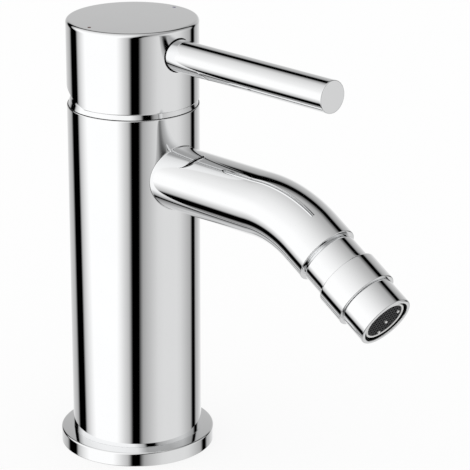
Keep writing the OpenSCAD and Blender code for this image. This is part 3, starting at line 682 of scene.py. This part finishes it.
NECK_R, NECK_IN, NECK_THREAD_R, NECK_BACK, NECK_TOP = 9.7, 7.1, 8.6, -15.5, -8.2
neck = outlet_lathe("chrome_neck", [
    *rounded([
        (NECK_IN, NECK_BACK), (NECK_THREAD_R, NECK_BACK), (NECK_THREAD_R, NECK_TOP), (8.95, NECK_TOP),
        (NECK_R, -7.1, 0.4), (NECK_R, -0.3),
    ], closed=False),
    *sphere_arc(NECK_R, 90, 42, 12), *sphere_arc(NECK_IN, 46, 90, 8),
], steps=160)
smooth(neck)
stand_for(neck, "swivel_neck", "mixer_body")

COLLAR_R, COLLAR_TOP, COLLAR_END = 10.88, 1.4, 11.9
TAIL_R, TAIL_IN, TAIL_END = 8.75, 4.45, 15.4
collar = outlet_lathe("chrome_collar", [
    *rounded([
        (9.9, COLLAR_TOP), (COLLAR_R, COLLAR_TOP, 0.5), (COLLAR_R, COLLAR_END, 0.3),
        (TAIL_R, COLLAR_END), (TAIL_R, TAIL_END), (TAIL_IN, TAIL_END),
    ], closed=False),
    *sphere_arc(NECK_R + 0.3, 26.5, 81.5, 14),
], steps=160)
smooth(collar)
stand_for(collar, "swivel_collar", "outlet")

# %% [markdown]
# ## Aerator
# A sleeve screws onto the collar and holds the aerator: a plastic ring with a lip, set back behind a
# dark groove, and a fine grille between three small studs. The ring and the sleeve are turned. The
# ring's outer wall is painted near black, as painted shade, because no light reaches the groove.

# %% Aerator housing
HOUSING_R, HOUSING_IN, HOUSING_TOP = 9.72, 8.8, COLLAR_END + 0.05
MOUTH_R, MOUTH_END, LEDGE = 8.4, 21.8, 18.8
housing = outlet_lathe("chrome_aerator_housing", rounded([
    (HOUSING_IN, HOUSING_TOP), (HOUSING_R, HOUSING_TOP, 0.25), (HOUSING_R, MOUTH_END, 0.45),
    (MOUTH_R, MOUTH_END, 0.15), (MOUTH_R, LEDGE), (HOUSING_IN, LEDGE),
]), steps=160)
smooth(housing)
paint(chrome, housing)
stand_for(housing, "aerator_housing", "outlet")

# %% Aerator ring and studs
RING_R, RING_IN, RING_FLANGE_R, RING_BACK = 7.6, 6.4, 8.75, 17.3
LIP_IN, LIP_END = 6.8, 21.2
GRILLE_R, GRILLE_BACK, GRILLE_FRONT = 6.95, 20.05, 20.95
insert = outlet_lathe("aerator_ring", rounded([
    (RING_IN, RING_BACK), (RING_FLANGE_R, RING_BACK), (RING_FLANGE_R, LEDGE), (RING_R, LEDGE),
    (RING_R, LIP_END, 0.3), (LIP_IN, LIP_END - 0.1, 0.15), (LIP_IN, GRILLE_FRONT),
    (GRILLE_R, GRILLE_FRONT), (GRILLE_R, GRILLE_BACK), (RING_IN, GRILLE_BACK),
]), steps=128)
smooth(insert)
paint(finishes["aerator_grey"], insert)
# Painted shade: the faces out at the groove take the near-black finish.
repaint(insert, shaded, lambda point: (point - BALL).cross(FLOW).length > RING_R - 0.1)

STUD_R, STUD_BACK, STUD_END = 0.5, 20.6, 21.3
STUD_PLACES = [(0.72, -5.74), (1.24, -1.06), (4.58, 2.68)]
mouth_up = FLOW.cross(Vector((1, 0, 0)))
studs = []
for x, up in STUD_PLACES:
    stud = lathe("stud", rounded([
        (0, STUD_BACK), (STUD_R, STUD_BACK), (STUD_R, STUD_END, 0.2), (0, STUD_END),
    ], closed=False), steps=32, base=BALL + Vector((x, 0, 0)) + mouth_up * up, axis=FLOW, closed=False)
    smooth(stud)
    paint(finishes["aerator_grey"], stud)
    studs.append(stud)
join(*studs, insert)
stand_for(insert, "aerator_insert", "outlet")

# %% [markdown]
# ## Painting
# Each new chrome skin takes the chrome, and each CAD solid takes the finish of its slot, the hidden
# ones too, because the parts may be looked at one by one.

# %% Painting
paint(chrome, flange, casting, lever, neck, collar)
slot_of = {part["node"]: part["material_slot"] for part in frame["record"]["subparts"]}
for node, solid in frame["nodes"].items():
    paint(finishes.get(slot_of[node], chrome), solid)
print("painted:", len(slot_of), "solids")

# %% [markdown]
# ## Camera
# The camera stands where the photograph's edges put it: a long lens, almost a metre away. A nearer
# camera with a wider lens would spread the column's sides.

# %% Camera
eye = Vector((-577.79, -633.88, 372.44)) * MM
view_way = Vector((0.66399, 0.67215, -0.32762))
clear_selection()
bpy.ops.object.camera_add(location=eye, rotation=view_way.to_track_quat("-Z", "Y").to_euler())
camera = bpy.context.object
camera.data.sensor_width = 36.0
camera.data.lens = 201.45
camera.data.clip_start = 0.05
bpy.context.scene.camera = camera
print("camera's distance from the column in mm:", round(eye.xy.length / MM))

# %% [markdown]
# ## Studio
# Chrome has no colour of its own: it shows the studio. This one has three panels round the tap: a
# bright sheet on the left that bends over into the ceiling, a grey panel on the right, and one
# behind that is brightest low down. Dark gaps lie between them, and they are what draws the black
# bars on the chrome. Lamps and cards could build it, but a world shader is sharper and has no noise.
# Seen from the tap, a straight gap lies in a plane, so each gap is written as the side that a
# mirrored ray takes of that plane, and a ramp gives the glow beside it.

# %% The way of a mirrored ray
world = bpy.data.worlds.new("studio")
bpy.context.scene.world = world
world.use_nodes = True
sky = Wire(world.node_tree, None)
toward = Vector((-view_way.x, -view_way.y, 0)).normalized()
right = Vector((-toward.y, toward.x, 0))
ray = sky.node("ShaderNodeTexCoord", out="Generated")


def along(toward_part, right_part, up_part):
    """The ray's part along a way given towards the front, to the right and up."""
    way = toward * toward_part + right * right_part + Vector((0, 0, up_part))
    return sky.node("ShaderNodeVectorMath", {"operation": "DOT_PRODUCT"}, {0: ray, 1: way}, out="Value")


def ramp(where, low, high, stops):
    """A ramp over a range, with a value at each stop."""
    stops = [((place - low) / (high - low), value) for place, value in stops]
    share = (where - low) / (high - low)
    return sky.node("ShaderNodeValToRGB", {"stops": stops}, {"Fac": share}).channel(0)


front, side, rise = along(1, 0, 0), along(0, 1, 0), along(0, 0, 1)
print("front of the studio:", [round(v, 3) for v in toward])

# %% [markdown]
# The gap in front stands between the left sheet and the right panel. It ends behind the tap and far
# overhead, and on the right it ends a little lower and widens slightly as it rises.

# %% The glow beside the front gap
front_gap = along(0.209, -0.844, 0.493)
left_of_front = ramp(front_gap, 0, 0.5, [
    (0.07, 0.0), (0.085, 0.03), (0.10, 0.11), (0.125, 0.30),
    (0.165, 0.50), (0.26, 0.68), (0.37, 0.92), (0.41, 1.0),
]).most((-front).between(0.0, 0.12)).most(rise.between(0.75, 0.92))
widening = 0.22 * (rise + 0.317).least(0.1)
right_of_front = ramp(-front_gap - widening, 0, 1, [
    (0.09, 0.0), (0.107, 0.05), (0.15, 0.22), (0.194, 0.371),
    (0.28, 0.456), (0.446, 0.584), (0.56, 0.67), (0.70, 0.70),
]).most(0.5 * rise.between(0.33, 0.42))

# %% [markdown]
# The gap on the left leans over and becomes the gap above the rear panel. Low down it swings
# forward and narrows.

# %% The glow beside the left and rear gaps
low_part = (-0.4 - rise).most(0.0)
left_gap = (along(-0.6569, 0.5489, -0.517) - 0.2 * low_part) * (1 + 1.2 * low_part)
rear_gap = along(0.7102, -0.15, 0.6458)
front_of_left = ramp(-left_gap, 0, 0.5, [
    (0.12, 0.0), (0.14, 0.13), (0.18, 0.46), (0.22, 0.58),
    (0.26, 0.67), (0.30, 0.76), (0.34, 0.84), (0.42, 1.0),
])
rear_of_left = ramp(left_gap, 0, 1, [
    (0.12, 0.0), (0.14, 0.05), (0.18, 0.22), (0.22, 0.38),
    (0.26, 0.45), (0.42, 0.56), (0.54, 0.65), (0.78, 0.90),
])
above_rear = ramp(rear_gap, 0, 0.5, [
    (0.10, 0.0), (0.16, 0.39), (0.23, 0.62), (0.28, 0.83), (0.34, 1.0),
])
below_rear = ramp(-rear_gap, 0, 1, [
    (0.10, 0.0), (0.124, 0.17), (0.2255, 0.35), (0.32, 0.41),
    (0.51, 0.51), (0.597, 0.53), (0.75, 0.80), (0.94, 0.92),
])

# %% [markdown]
# The last gap, on the right, is nearly upright, so it is written by the ray's bearing in degrees,
# with a small lean near the level at which the upright walls mirror it.

# %% The glow beside the right gap
WALL_LEVEL, MOST_LEAN = 18.5, 7.0
bearing = side.math("ARCTAN2", front) * degrees(1)
lean = (rise.math("ARCSINE") * degrees(1) + WALL_LEVEL).most(-MOST_LEAN).least(MOST_LEAN)
turn = bearing - 0.5 * lean
left_of_right = ramp(turn, -180, 180, [
    (-30, 0.0), (-20, 0.70), (80, 0.70), (88.5, 0.658),
    (106.5, 0.479), (115.5, 0.397), (118.5, 0.242), (121.5, 0.0),
])
rear_of_right = ramp(turn, -180, 180, [
    (-80, 1.0), (-60, 0.0), (130.5, 0.0), (133.5, 0.214), (136.5, 0.429),
    (142.5, 0.468), (151, 0.60), (160, 0.70), (179, 1.0),
])

# %% [markdown]
# Each panel takes the least of the glows along its own edges, and the sheet fades into the ceiling's
# softer light. Low down all panels darken, apart from a patch of lit floor on the right that shows in
# the mouth's rim. The panels are for mirrored rays only. All other rays see plain soft white, so that
# the other finishes keep their colours and the background stays white.

# %% The panels
RIGHT_FACE = radians(62)
high_part = rise.between(0.1, 0.45)
ceiling = along(0.24, -0.30, -0.05) + 0.63
sheet = left_of_front.least(front_of_left.most(above_rear)) * (1 - high_part + ceiling * high_part)
right_height = rise / along(cos(RIGHT_FACE), sin(RIGHT_FACE), 0).most(0.05)
right_panel = right_of_front.least(left_of_right) * (1 - 0.3 * right_height.between(0.0, 0.9))
rear_panel = rear_of_left.least(below_rear).least(rear_of_right)
low_shade = 1 - 0.33 * (-rise).between(0.42, 0.85)
lit_floor = 0.62 * (-rise).between(0.6, 0.7) * side.between(0.2, 0.35)
studio = (sheet.most(right_panel).most(rear_panel) * low_shade).most(lit_floor)

# %% The world
GLOW = 1.06
mirrored_ray = sky.node("ShaderNodeLightPath", out="Is Glossy Ray")
plain = sky.node("ShaderNodeBackground", {}, {"Color": (1, 1, 1, 1), "Strength": 1.0})
panels = sky.node("ShaderNodeBackground", {}, {"Color": (1, 1, 1, 1), "Strength": GLOW * studio})
mixed = sky.node("ShaderNodeMixShader", {}, {0: mirrored_ray, 1: plain, 2: panels})
world_end = next(n for n in world.node_tree.nodes if n.type == "OUTPUT_WORLD")
world.node_tree.links.new(mixed.socket, world_end.inputs["Surface"])
print("nodes in the studio:", len(world.node_tree.nodes))

# %% [markdown]
# ## Floor
# A plain pale floor under the tap. Most of its light is a plain glow, so that it stays as white as
# the background, and the rest is matt and takes the tap's soft shadow. Mirrored rays pass it, because
# the chrome shows the studio's panels down to their feet.

# %% Floor
FLOOR_SIZE, FLOOR_DROP, FLOOR_GLOW = 6.0, 0.02, 0.8
clear_selection()
bpy.ops.mesh.primitive_plane_add(size=FLOOR_SIZE, location=(0, 0, -FLOOR_DROP * MM))
floor = bpy.context.object
floor.name = "floor"
bpy.ops.object.transform_apply(location=True)
floor_paint, maker, shader = finish("pale floor")
shader.inputs["Roughness"].default_value = 0.9
shader.inputs["Specular IOR Level"].default_value = 0.0
place = maker.node("ShaderNodeTexCoord", out="Object")
speck = maker.node("ShaderNodeTexNoise", {}, {"Vector": place, "Scale": 40.0}, out="Fac")
tones = {0: speck, 6: (0.95, 0.95, 0.95, 1), 7: (0.96, 0.96, 0.96, 1)}
feed(maker.node("ShaderNodeMix", {"data_type": "RGBA"}, tones, out=2), shader, "Base Color")
shine = maker.node("ShaderNodeEmission", {}, {"Color": (1, 1, 1, 1), "Strength": 1.0})
matt = Wire(floor_paint.node_tree, shader.outputs[0])
floor_mix = maker.node("ShaderNodeMixShader", {}, {0: FLOOR_GLOW, 1: matt, 2: shine})
floor_end = next(n for n in floor_paint.node_tree.nodes if n.type == "OUTPUT_MATERIAL")
floor_paint.node_tree.links.new(floor_mix.socket, floor_end.inputs["Surface"])
paint(floor_paint, floor)
floor.visible_glossy = False
print("floor in m:", FLOOR_SIZE)

# %% [markdown]
# ## The end
# Standard view keeps each colour as it is written.

# %% View and end
bpy.context.scene.view_settings.view_transform = "Standard"
